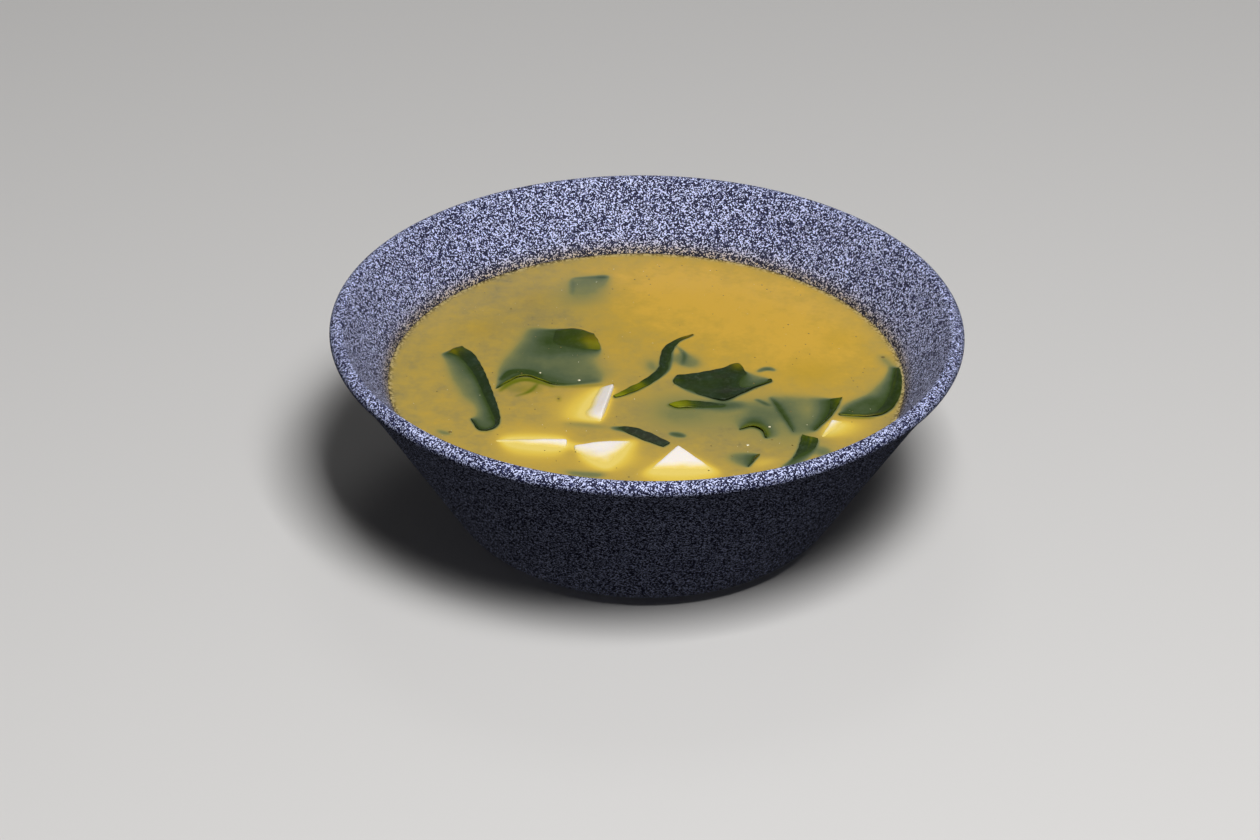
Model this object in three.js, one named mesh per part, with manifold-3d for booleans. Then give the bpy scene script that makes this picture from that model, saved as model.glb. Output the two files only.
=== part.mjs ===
// Miso soup in its stoneware bowl: the bowl, the soup, five tofu blocks and eleven wakame leaves.
// Millimetres, +Z up. The origin is the middle of the bowl's foot, on the surface it stands on.
import * as THREE from 'three';
import { ConvexGeometry } from 'three/addons/geometries/ConvexGeometry.js';
import { mergeVertices } from 'three/addons/utils/BufferGeometryUtils.js';
import Module from 'manifold-3d';

const wasm = await Module();
wasm.setup();

// ---- Driving dimensions ------------------------------------------------------------------------

const RIM_RADIUS = 80;          // outside of the lip
const BOWL_HEIGHT = 56;
const WALL = 4.1;               // thickness, square to the wall; the lip is a full round of it
const FLARE_DEGREES = 31.8;     // lean of the wall from upright
const LIP_TURN = 0.95;          // how far the top of the wall bends out past the straight flare
const LIP_TURN_START = 42;      // height where that bend starts
const BASE_CORNER = 14.8;       // outer round between foot and wall
const FLOOR_HEIGHT = 7;         // top of the floor inside
const INNER_CORNER = 12;        // inner round between floor and wall
const FOOT_RECESS_DEPTH = 1.2;  // hollow under the foot
const FOOT_RING_WIDTH = 6;      // flat ring that the bowl stands on
const SOUP_LEVEL = 39.1;
const GAP = 0.3;                // clearance between pieces that touch
const AROUND = 60;              // facets round the bowl
const CORNER_STEPS = 5;         // facets of a rounded corner
const LIP_STEPS = 8;            // facets over the lip
const WALL_STEPS = 4;           // facets up each side of the wall

const TOFU_EDGE = 0.5;          // soft edge of a cut block
const LEAF_THICKNESS = 0.9;     // wakame at the middle of a leaf; its rim tapers out
const LEAF_ACROSS = 4;          // facets across a leaf whose net has two rows
const LEAF_MORE_ACROSS = 2;     // further facets for each further row
const LEAF_ALONG = 7;           // facets along a leaf
const LEAF_RIM_GAP = 1.5 * GAP; // clearance past a leaf's thin rim, as its facets cut corners
const CURVE_TENSION = 0.5;      // of the smooth lines through a leaf's net
const MERGE_WITHIN = 1e-4;      // vertices closer than this are one

// ---- Finishes ----------------------------------------------------------------------------------

const finish = (color, roughness) => new THREE.MeshStandardMaterial({ color, roughness, metalness: 0 });

const STONEWARE = () => finish(0x5b5d70, 0.75);
const BROTH = () => finish(0xc8a444, 0.25);
const TOFU = () => finish(0xf2ead8, 0.5);
const WAKAME = () => finish(0x2c4a1c, 0.35);

// ---- The bowl's section ------------------------------------------------------------------------

const flare = THREE.MathUtils.degToRad(FLARE_DEGREES);
const slope = Math.tan(flare);
const lipRound = WALL / 2;
const lipCentre = { r: RIM_RADIUS - lipRound, z: BOWL_HEIGHT - lipRound };
const halfWallAcross = lipRound / Math.cos(flare);   // half the wall, measured level

// Radius of the middle of the wall: a straight flare, then a bend outwards under the lip.
function wallMiddle(z) {
  const bend = Math.max(0, (z - LIP_TURN_START) / (lipCentre.z - LIP_TURN_START));
  return lipCentre.r - LIP_TURN + slope * (z - lipCentre.z) + LIP_TURN * bend * bend;
}

const outerRadius = (z) => wallMiddle(z) + halfWallAcross;
const innerRadius = (z) => wallMiddle(z) - halfWallAcross;

// Points of an arc in the section; angles in radians from level, outwards.
function arc(r, z, radius, from, to, steps) {
  const points = [];
  for (let i = 0; i <= steps; i++) {
    const angle = from + (to - from) * i / steps;
    points.push(new THREE.Vector2(r + radius * Math.cos(angle), z + radius * Math.sin(angle)));
  }
  return points;
}

// Points of one side of the wall between two heights, ends left out.
function wallSide(radiusAt, from, to, steps) {
  const points = [];
  for (let i = 1; i < steps; i++) {
    const z = from + (to - from) * i / steps;
    points.push(new THREE.Vector2(radiusAt(z), z));
  }
  return points;
}

// The round where the floor meets the wall inside, shrunk by a clearance for what fills the bowl.
function innerCorner(clearance) {
  const z = FLOOR_HEIGHT + INNER_CORNER;
  const r = innerRadius(z) - INNER_CORNER / Math.cos(flare);
  return arc(r, z, INNER_CORNER - clearance, -flare, -Math.PI / 2, CORNER_STEPS);
}

function makeBowl() {
  const baseZ = BASE_CORNER;
  const baseR = outerRadius(baseZ) - BASE_CORNER / Math.cos(flare);
  const lipLean = Math.atan(slope + 2 * LIP_TURN / (lipCentre.z - LIP_TURN_START));
  const recessRadius = baseR - FOOT_RING_WIDTH;
  const baseCorner = arc(baseR, baseZ, BASE_CORNER, -Math.PI / 2, -flare, CORNER_STEPS);
  const lip = arc(lipCentre.r, lipCentre.z, lipRound, -lipLean, Math.PI - lipLean, LIP_STEPS);
  const inside = innerCorner(0);
  const profile = [
    new THREE.Vector2(0, FOOT_RECESS_DEPTH),
    new THREE.Vector2(recessRadius - FOOT_RECESS_DEPTH, FOOT_RECESS_DEPTH),
    new THREE.Vector2(recessRadius, 0),
    ...baseCorner,
    ...wallSide(outerRadius, baseCorner.at(-1).y, lip[0].y, WALL_STEPS),
    ...lip,
    ...wallSide(innerRadius, lip.at(-1).y, inside[0].y, WALL_STEPS),
    ...inside,
    new THREE.Vector2(0, FLOOR_HEIGHT),
  ];
  return revolve(profile);
}

// The soup before the garnish is cut out of it: it fills the bowl up to its level.
function makeFullSoup() {
  const clearance = GAP / Math.cos(flare);
  const corner = innerCorner(GAP).reverse();
  return revolve([
    new THREE.Vector2(0, FLOOR_HEIGHT + GAP),
    ...corner,
    new THREE.Vector2(innerRadius(SOUP_LEVEL) - clearance, SOUP_LEVEL),
    new THREE.Vector2(0, SOUP_LEVEL),
  ]);
}

// A solid of revolution about +Z from a section that starts and ends on the axis.
function revolve(profile) {
  const geometry = new THREE.LatheGeometry(profile, AROUND);
  geometry.rotateX(Math.PI / 2);
  return closed(geometry);
}

// ---- Tofu --------------------------------------------------------------------------------------

// A place on or near the soup: x, y and height above its level.
const place = ([x, y, height]) => new THREE.Vector3(x, y, SOUP_LEVEL + height);

// Corners of a cut block. Its top is an outline of four to six places, its sides run along down,
// and each corner becomes three points, so that every edge is a soft chamfer. grow moves the
// faces out by that much.
function blockPoints({ top, down }, grow = 0) {
  const drop = new THREE.Vector3(...down);
  const upper = top.map(place);
  const rings = [upper, upper.map((p) => p.clone().add(drop))];
  const corners = rings.flat();
  const middle = new THREE.Vector3();
  corners.forEach((p) => middle.addScaledVector(p, 1 / corners.length));
  const diagonal = grow * Math.sqrt(3);   // a corner moves this far when its three faces move by grow
  const points = [];
  rings.forEach((ring, level) => {
    const sideways = drop.clone().multiplyScalar(level === 0 ? 1 : -1);
    ring.forEach((corner, i) => {
      const towards = [
        ring[(i + 1) % ring.length].clone().sub(corner),
        ring.at(i - 1).clone().sub(corner),
        sideways,
      ].map((v) => v.clone().setLength(TOFU_EDGE));
      for (let skip = 0; skip < towards.length; skip++) {
        const point = corner.clone();
        towards.forEach((step, k) => k !== skip && point.add(step));
        const outwards = point.clone().sub(middle).setLength(diagonal);
        points.push(point.add(outwards));
      }
    });
  });
  return points;
}

const tofuSolid = (block) => closed(new ConvexGeometry(blockPoints(block)));
const tofuPocket = (block) => closed(new ConvexGeometry(blockPoints(block, GAP)));

// Each block: the outline of its top, and the way its sides run down into the soup.
const TOFU_BLOCKS = {
  tofu_middle: {
    top: [[-8.3, -4.5, 1.2], [-10.6, -18.2, 1.4], [-11.4, -22.8, -0.2], [-17.5, -22.4, -1.1],
      [-24, -21.5, -2.3], [-21.5, -5.2, -3.4]],
    down: [3.5, -1, -11],
  },
  tofu_front_left: {
    top: [[-37, -25, -3.4], [-20.5, -25.5, -3.2], [-19.2, -32, 1.1], [-20, -44, -3.2],
      [-35, -43, -3.4], [-37.4, -31.8, 0.25]],
    down: [0, 2, -10],
  },
  tofu_front: {
    top: [[-17.6, -34.2, 0.7], [-10.4, -32.9, 1.3], [-3.5, -31, 0.35], [-1.8, -43.5, -3.4],
      [-9.2, -45.5, -0.4], [-16.6, -46, -3.2]],
    down: [0, 4, -10],
  },
  tofu_front_right: {
    top: [[8.2, -35.6, 2.1], [-1.1, -47.4, -0.6], [10.2, -56.5, -3], [19.4, -45.8, -0.5]],
    down: [0, 5, -10],
  },
  tofu_right: {
    top: [[46.8, -20, 0.75], [43.8, -27.4, 0.15], [54, -29, -2.2], [58.8, -19.4, -2.2]],
    down: [-5, 3, -9],
  },
};

// ---- Wakame ------------------------------------------------------------------------------------

const smooth = (points) => new THREE.CatmullRomCurve3(points, false, 'catmullrom', CURVE_TENSION);

// Grid of points on a leaf: smooth lines through each row of the net, then across the rows.
function leafGrid(net) {
  const across = LEAF_ACROSS + LEAF_MORE_ACROSS * (net.length - 2);
  const lines = net.map((row) => smooth(row.map(place)).getPoints(LEAF_ALONG));
  return lines[0].map((_, j) => smooth(lines.map((line) => line[j])).getPoints(across));
}

// The grid with one more ring of points, that far outside its rim.
function widened(grid, distance) {
  const beyond = (edge, inner) => edge.clone().add(edge.clone().sub(inner).setLength(distance));
  const longer = grid.map((line) => [beyond(line[0], line[1]), ...line, beyond(line.at(-1), line.at(-2))]);
  const before = longer[0].map((edge, j) => beyond(edge, longer[1][j]));
  const after = longer.at(-1).map((edge, j) => beyond(edge, longer.at(-2)[j]));
  return [before, ...longer, after];
}

// A closed sheet on a grid: two faces that part by twice half(i, j) and meet along the rim.
function sheet(grid, half) {
  const rows = grid.length;
  const columns = grid[0].length;
  const at = (i, j) => grid[Math.min(Math.max(i, 0), rows - 1)][Math.min(Math.max(j, 0), columns - 1)];
  const vertices = [];
  const faces = [1, -1].map((side) => grid.map((line, i) => line.map((point, j) => {
    const along = at(i + 1, j).clone().sub(at(i - 1, j));
    const normal = along.cross(at(i, j + 1).clone().sub(at(i, j - 1))).normalize();
    vertices.push(...point.clone().addScaledVector(normal, side * half(i, j)).toArray());
    return vertices.length / 3 - 1;
  })));
  const triangles = [];
  for (let i = 0; i < rows - 1; i++) {
    for (let j = 0; j < columns - 1; j++) {
      const [[a, b], [d, c]] = [faces[0][i].slice(j, j + 2), faces[0][i + 1].slice(j, j + 2)];
      triangles.push(a, d, c, a, c, b);
      const [[e, f], [h, g]] = [faces[1][i].slice(j, j + 2), faces[1][i + 1].slice(j, j + 2)];
      triangles.push(e, g, h, e, f, g);
    }
  }
  const geometry = new THREE.BufferGeometry();
  geometry.setAttribute('position', new THREE.Float32BufferAttribute(vertices, 3));
  geometry.setIndex(triangles);
  return closed(geometry);
}

// How many grid steps a point lies from the nearest rim.
const stepsIn = (grid, i, j) => Math.min(i, j, grid.length - 1 - i, grid[0].length - 1 - j);

function leafSolid(net) {
  const grid = leafGrid(net);
  return sheet(grid, (i, j) => (stepsIn(grid, i, j) > 0 ? LEAF_THICKNESS / 2 : 0));
}

function leafPocket(net) {
  const grid = widened(leafGrid(net), LEAF_RIM_GAP);
  const halves = [0, GAP, GAP + LEAF_THICKNESS / 2];
  return sheet(grid, (i, j) => halves[Math.min(stepsIn(grid, i, j), 2)]);
}

// Each leaf: a net of places it passes through, row by row from one long edge to the other.
const LEAVES = {
  wakame_hook: [
      [[-47.5, 14.5, 0.3], [-44.2, 10.2, 0.5], [-41.4, 2.2, 0.6], [-38.4, -10, 0.6], [-36.3, -21, 0.5],
       [-37.1, -25.6, 0.4], [-39.4, -27.3, 0.3]],
      [[-49.6, 13.2, 0.3], [-47, 8.5, 0], [-44, 0.6, -0.4], [-41.2, -10, -0.5], [-39, -20, -0.6],
       [-39.6, -24, -1], [-41.6, -26.8, 0.3]],
      [[-52.4, 10.6, -0.4], [-50.2, 5, -3], [-47, -2, -4.5], [-44.2, -11, -4.2], [-42.6, -18, -2.8],
       [-42.4, -20.4, -1.6], [-43.7, -21.6, 0.3]],
  ],
  wakame_flap: [
      [[-31, 25.5, -3], [-26, 24.3, -0.6], [-19, 24.4, 0.4], [-13.8, 21.8, 0.5]],
      [[-34, 15, -3.2], [-27, 16.5, -0.8], [-19.5, 16.8, 0.2], [-12, 15.4, 0.35]],
      [[-37, 7, -2.8], [-30, 7.5, -2], [-21, 8.6, -2.3], [-12.4, 9.4, -3.2]],
      [[-37.6, -3.5, -0.6], [-31, 2.6, -0.8], [-22, -0.8, -1.3], [-12, 1.5, -3]],
      [[-38, -6.5, 0.2], [-31, -0.2, 0.5], [-22.6, -4.2, 0.25], [-11.5, -2, -1]],
  ],
  wakame_twist: [
      [[11.8, 22.9, 0.2], [7.4, 19.4, 0.4], [4.3, 15, 0.5], [3.4, 9.6, 0.5], [3, 4.6, 0.5], [-0.4, -1, 0.4],
       [-4.6, -5.6, 0.4], [-8.3, -9.4, 0.3]],
      [[12.1, 22.5, 0.2], [8.2, 18.6, 0.1], [6.6, 13.6, -0.1], [6.3, 8, -0.3], [5.4, 3.4, -0.2], [1.5, -2.4, 0],
       [-3.2, -7.2, 0.3], [-7.7, -10.2, 0.3]],
  ],
  wakame_centre: [
      [[7.8, 1.5, 0.2], [13.5, 2.8, 0.4], [19, 5, 0.5], [23.3, 7.5, 0.6], [25.2, 4.2, 0.1], [28, 2.2, -2.2],
       [31.6, 0.2, 0.4]],
      [[6.8, -0.8, 0.2], [12.2, -1.6, 0.1], [17, -1.6, -0.1], [21.5, -1.2, 0.2], [24.8, -0.8, -0.6], [28, -0.2, -1.6],
       [31.9, -0.4, 0.4]],
      [[7.2, -2.6, 0.1], [10.8, -6, -0.2], [15.2, -8.8, 0.1], [19.8, -10.8, 0.5], [24, -7.6, 0.6], [28, -3.9, 0.6],
       [31.9, -1, 0.4]],
  ],
  wakame_sliver: [
      [[5.7, -12.8, 0.2], [8.8, -11.5, 0.4], [12, -11.4, 0.4], [15.5, -11.8, 0.3], [19.8, -12.6, 0.1]],
      [[5.9, -13.3, 0.2], [7.9, -14.6, 0.3], [11, -14.4, 0.2], [15, -14.2, -0.3], [19.6, -13.6, -0.6]],
  ],
  wakame_curl: [
      [[23.5, -25, 0.4], [26.4, -23.7, 0.8], [29, -25.2, 0.8], [30, -28.8, 0.4]],
      [[24, -19.5, -3.2], [27.6, -18.4, -3], [30.8, -21.4, -3], [32.6, -26.6, -3]],
  ],
  wakame_sail: [
      [[49.5, -8.4, 0.4], [46.9, -16.8, 0.4], [42.2, -24.6, 0.1]],
      [[46, -8.9, -0.3], [44.4, -16.4, -0.8], [41.2, -24.4, -1.2]],
      [[39.5, -8.3, -3.4], [40.2, -16.8, -3.6], [39.7, -25.4, -3]],
      [[33.2, -8.3, -3], [35.6, -16.6, -2.8], [38.1, -25.6, -2.4]],
      [[31.4, -8.6, 0], [34.1, -16.3, 0.1], [37, -25.4, 0.1]],
  ],
  wakame_wall_front: [
      [[39, -27.2, 0.4], [38.5, -30.6, 0.4], [37.6, -34.8, 0.2], [35.8, -39.4, -0.2], [33.4, -43, -0.8]],
      [[43, -28.9, 0.4], [42.6, -31.4, 0.1], [41.2, -35.4, -0.6], [39, -39.6, -1.4], [36.4, -43.4, -2]],
  ],
  wakame_wall_right: [
      [[64.5, 7, 0.4], [64.9, 0, 0.7], [64, -8, 0.7], [61.4, -14.4, 0.6], [57, -17.4, 0.5], [48.7, -17, 0.2]],
      [[63.6, 7.2, -0.1], [62.8, 0.8, 0], [61, -6.6, -0.3], [58.2, -11.6, -0.6], [54.4, -14.8, -0.9],
       [48.5, -16.6, 0.1]],
      [[62.4, 7.6, -0.9], [60.4, 1.8, -1.8], [57.4, -3.8, -2.4], [54.4, -8.4, -2.4], [51.4, -12, -1.8],
       [48.3, -16.2, 0.1]],
  ],
  wakame_corner: [
      [[20.4, -36.6, -2.2], [24.5, -36, -1.4], [28.5, -36.5, 0.3]],
      [[20.2, -40, -3.6], [23.2, -41.8, -2.6], [25.6, -42.4, 0.1]],
  ],
  wakame_dark: [
      [[-8.8, -24.4, -0.6], [-4.4, -24.4, 0.3], [0.6, -27.3, 0.6], [6.2, -32, 0.4]],
      [[-8, -25.6, -0.9], [-5.2, -26.7, -0.1], [-0.6, -30.4, 0.1], [4.6, -33.8, 0.2]],
  ],
};

// ---- Closed meshes and cuts --------------------------------------------------------------------

// The geometry with only positions left and its shared vertices merged.
function closed(geometry) {
  const bare = geometry.clone();
  bare.deleteAttribute('normal');
  bare.deleteAttribute('uv');
  return mergeVertices(bare, MERGE_WITHIN);
}

function toManifold(geometry) {
  return new wasm.Manifold(new wasm.Mesh({
    numProp: 3,
    vertProperties: new Float32Array(geometry.attributes.position.array),
    triVerts: new Uint32Array(geometry.index.array),
  }));
}

function fromManifold(solid) {
  const { vertProperties, triVerts, numProp } = solid.getMesh();
  const positions = [];
  for (let i = 0; i < vertProperties.length; i += numProp) {
    positions.push(vertProperties[i], vertProperties[i + 1], vertProperties[i + 2]);
  }
  const geometry = new THREE.BufferGeometry();
  geometry.setAttribute('position', new THREE.Float32BufferAttribute(positions, 3));
  geometry.setIndex([...triVerts]);
  return geometry;
}

function makeSoup() {
  let soup = toManifold(makeFullSoup());
  const pockets = [
    ...Object.values(TOFU_BLOCKS).map(tofuPocket),
    ...Object.values(LEAVES).map(leafPocket),
  ];
  for (const pocket of pockets) {
    soup = soup.subtract(toManifold(pocket));
  }
  return fromManifold(soup);
}

// ---- The model ---------------------------------------------------------------------------------

const model = new THREE.Group();

function addPart(name, geometry, material) {
  geometry.computeVertexNormals();
  const mesh = new THREE.Mesh(geometry, material);
  mesh.name = name;
  model.add(mesh);
}

addPart('bowl', makeBowl(), STONEWARE());
addPart('soup', makeSoup(), BROTH());
for (const [name, block] of Object.entries(TOFU_BLOCKS)) {
  addPart(name, tofuSolid(block), TOFU());
}
for (const [name, net] of Object.entries(LEAVES)) {
  addPart(name, leafSolid(net), WAKAME());
}

export default model;
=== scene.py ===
"""Looks of a bowl of miso soup: speckled stoneware, cloudy broth, cut tofu and wakame leaves.

Every piece is worked out in metres, +Z up, with its place in its mesh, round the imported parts. Places on the
soup are given as x, y and height over the soup's level, in millimetres, and MM turns them to metres.
"""

import logging
import math
from dataclasses import dataclass, field
from enum import Enum
from typing import Any, Sequence

import bmesh
import bpy
import numpy as np
from mathutils import Matrix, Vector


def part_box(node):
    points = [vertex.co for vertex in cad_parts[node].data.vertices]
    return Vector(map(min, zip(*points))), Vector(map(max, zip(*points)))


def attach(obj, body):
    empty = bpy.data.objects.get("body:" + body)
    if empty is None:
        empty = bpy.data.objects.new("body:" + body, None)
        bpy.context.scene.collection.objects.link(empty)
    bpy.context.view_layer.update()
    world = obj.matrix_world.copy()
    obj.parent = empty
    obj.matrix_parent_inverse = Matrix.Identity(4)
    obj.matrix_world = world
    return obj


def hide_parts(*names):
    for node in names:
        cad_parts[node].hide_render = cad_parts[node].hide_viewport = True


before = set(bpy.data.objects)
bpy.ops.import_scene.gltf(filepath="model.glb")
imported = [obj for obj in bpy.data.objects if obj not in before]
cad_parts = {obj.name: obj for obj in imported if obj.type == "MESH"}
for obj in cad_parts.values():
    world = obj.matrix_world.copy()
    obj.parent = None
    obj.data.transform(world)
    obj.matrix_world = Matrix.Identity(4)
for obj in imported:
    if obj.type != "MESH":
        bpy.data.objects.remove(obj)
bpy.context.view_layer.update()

MM = 0.001
BODY = "root"

log = logging.getLogger("miso_soup")

Colour = tuple[float, float, float]
Place = tuple[float, float, float]
Patch = tuple[float, float, float, float]


# ---- Numbers and surfaces ----


def linear(red: int, green: int, blue: int) -> Colour:
    """Turn a screen colour of 0 to 255 into linear light.

    Args:
        red: Red, 0 to 255.
        green: Green, 0 to 255.
        blue: Blue, 0 to 255.

    Returns:
        The three linear values, by the standard screen curve with its short straight foot.
    """
    screen = [channel / 255 for channel in (red, green, blue)]
    return tuple(s / 12.92 if s <= 0.04045 else ((s + 0.055) / 1.055) ** 2.4 for s in screen)


def patches(spots: Sequence[Patch], x: np.ndarray, y: np.ndarray) -> np.ndarray:
    """Sum soft patches, each its strength times exp(-(distance / reach) squared).

    Args:
        spots: The patches, as x, y, reach and strength.
        x: Places along X.
        y: Places along Y.

    Returns:
        The sum at each place.
    """
    value = np.zeros(x.shape)
    for spot_x, spot_y, reach, strength in spots:
        value += strength * np.exp(-((x - spot_x) ** 2 + (y - spot_y) ** 2) / reach**2)
    return value


def spline_weights(count: int, steps: int) -> np.ndarray:
    """Weigh the points of a smooth line so that a product with the points gives places along it.

    The line is a Catmull-Rom spline: between two points each place is the sum of the four nearest points
    times cubic weights, and past each end stands a mirrored point.

    Args:
        count: How many points the line passes through.
        steps: How many equal steps are taken along it.

    Returns:
        A matrix of steps + 1 rows and count columns.
    """
    where = np.linspace(0.0, count - 1.0, steps + 1)
    first = np.minimum(where.astype(int), count - 2)
    t = where - first
    cubic = 0.5 * np.stack(
        [-(t**3) + 2 * t**2 - t, 3 * t**3 - 5 * t**2 + 2, -3 * t**3 + 4 * t**2 + t, t**3 - t**2], axis=1
    )
    weights = np.zeros((steps + 1, count + 2))
    np.put_along_axis(weights, first[:, None] + np.arange(4), cubic, axis=1)
    ends = np.zeros((count + 2, count))
    ends[1:-1] = np.eye(count)
    ends[0, :2] = (2, -1)
    ends[-1, -2:] = (-1, 2)
    return weights @ ends


def smooth_line(points: Sequence[Sequence[float]], steps: int) -> np.ndarray:
    """Places along a smooth line through points: spline weights times the points."""
    points = np.asarray(points, float)
    return spline_weights(len(points), steps) @ points


def smooth_sheet(net: Sequence[Sequence[Sequence[float]]], across: int, along: int) -> np.ndarray:
    """Places on a smooth sheet through a net: spline weights across and along, times the net.

    Args:
        net: Rows of points, from one long edge to the other.
        across: Steps from row to row.
        along: Steps along a row.

    Returns:
        An array of (across + 1, along + 1, 3) places.
    """
    net = np.asarray(net, float)
    rows, columns = spline_weights(net.shape[0], across), spline_weights(net.shape[1], along)
    return np.einsum("ar,lc,rck->alk", rows, columns, net)


def grid_faces(index: np.ndarray) -> np.ndarray:
    """Four-sided faces between the neighbours of an index grid."""
    return np.stack([index[:-1, :-1], index[1:, :-1], index[1:, 1:], index[:-1, 1:]], axis=-1).reshape(-1, 4)


def fan_faces(ring: np.ndarray, tip: int) -> np.ndarray:
    """Three-sided faces from each step of a closed ring to a tip."""
    return np.stack([ring, np.roll(ring, -1), np.full_like(ring, tip)], axis=-1)


@dataclass
class Skin:
    """A mesh as arrays: places, four-sided faces, three-sided faces and numbers held at the places."""

    points: np.ndarray
    quads: np.ndarray
    triangles: np.ndarray = field(default_factory=lambda: np.zeros((0, 3), int))
    values: dict[str, np.ndarray] = field(default_factory=dict)

    def volume(self) -> float:
        """Signed volume: the sum over triangles of a . (b x c) / 6.

        Returns:
            The volume, above 0 when the faces point out.
        """
        split = np.concatenate([self.quads[:, [0, 1, 2]], self.quads[:, [0, 2, 3]], self.triangles])
        a, b, c = (self.points[split[:, k]] for k in range(3))
        return float(np.einsum("ij,ij->", a, np.cross(b, c)) / 6.0)

    def outward(self) -> "Skin":
        """Turn the faces round if they point in.

        Returns:
            The same skin with its faces pointing out.
        """
        if self.volume() < 0:
            self.quads = self.quads[:, ::-1]
            self.triangles = self.triangles[:, ::-1]
        return self

    def lay(
        self, name: str, material: bpy.types.Material, stands_for: Sequence[str], slot: str
    ) -> bpy.types.Object:
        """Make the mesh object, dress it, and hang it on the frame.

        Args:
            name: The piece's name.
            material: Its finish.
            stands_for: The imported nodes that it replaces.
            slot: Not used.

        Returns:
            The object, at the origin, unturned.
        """
        mesh = bpy.data.meshes.new(name)
        mesh.from_pydata(self.points.tolist(), [], self.quads.tolist() + self.triangles.tolist())
        mesh.polygons.foreach_set("use_smooth", np.ones(len(mesh.polygons), bool))
        for held, numbers in self.values.items():
            mesh.attributes.new(held, "FLOAT", "POINT").data.foreach_set("value", numbers.astype(np.float32))
        mesh.materials.append(material)
        mesh.validate()
        piece = bpy.data.objects.new(name, mesh)
        bpy.context.scene.collection.objects.link(piece)
        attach(piece, BODY)
        if stands_for:
            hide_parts(*stands_for)
        log.info("%s: %d vertices, %d faces", name, len(mesh.vertices), len(mesh.polygons))
        return piece


def revolved(profile: np.ndarray, around: int) -> Skin:
    """Turn a section about +Z: each place is (r cos a, r sin a, z), and both ends close in one point.

    Args:
        profile: Rows of r and z that start and end on the axis.
        around: Steps round the axis.

    Returns:
        The closed skin.
    """
    angle = np.linspace(0.0, 2 * np.pi, around, endpoint=False)
    r, z = profile[1:-1, :1], profile[1:-1, 1:]
    rings = np.stack([r * np.cos(angle), r * np.sin(angle), z + 0 * angle], axis=-1)
    index = np.arange(rings.shape[0] * around).reshape(-1, around)
    poles = np.array([[0, 0, profile[0, 1]], [0, 0, profile[-1, 1]]])
    return Skin(
        np.concatenate([rings.reshape(-1, 3), poles]),
        grid_faces(np.concatenate([index, index[:, :1]], axis=1)),
        np.concatenate([fan_faces(index[0], index.size), fan_faces(index[-1][::-1], index.size + 1)]),
    ).outward()


# ---- Shader maths ----


class Number:
    """A number on its way through a material, on which Python's operators add Math nodes."""

    def __init__(self, bench: "Bench", socket: bpy.types.NodeSocket) -> None:
        """Wrap a socket that gives a number."""
        self.bench = bench
        self.socket = socket

    def __add__(self, other: "Number | float") -> "Number":
        """Sum."""
        return self.bench.math("ADD", self, other)

    def __sub__(self, other: "Number | float") -> "Number":
        """Difference."""
        return self.bench.math("SUBTRACT", self, other)

    def __mul__(self, other: "Number | float") -> "Number":
        """Product."""
        return self.bench.math("MULTIPLY", self, other)

    def __rsub__(self, other: float) -> "Number":
        """Difference from a plain number."""
        return self.bench.math("SUBTRACT", other, self)

    __radd__ = __add__
    __rmul__ = __mul__

    def clipped(self) -> "Number":
        """The number kept between 0 and 1."""
        return self.bench.math("MINIMUM", self.bench.math("MAXIMUM", self, 0.0), 1.0)

    def rising(self, low: float, high: float) -> "Number":
        """0 below low, 1 above high, straight between."""
        return ((self - low) * (1.0 / (high - low))).clipped()


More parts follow.
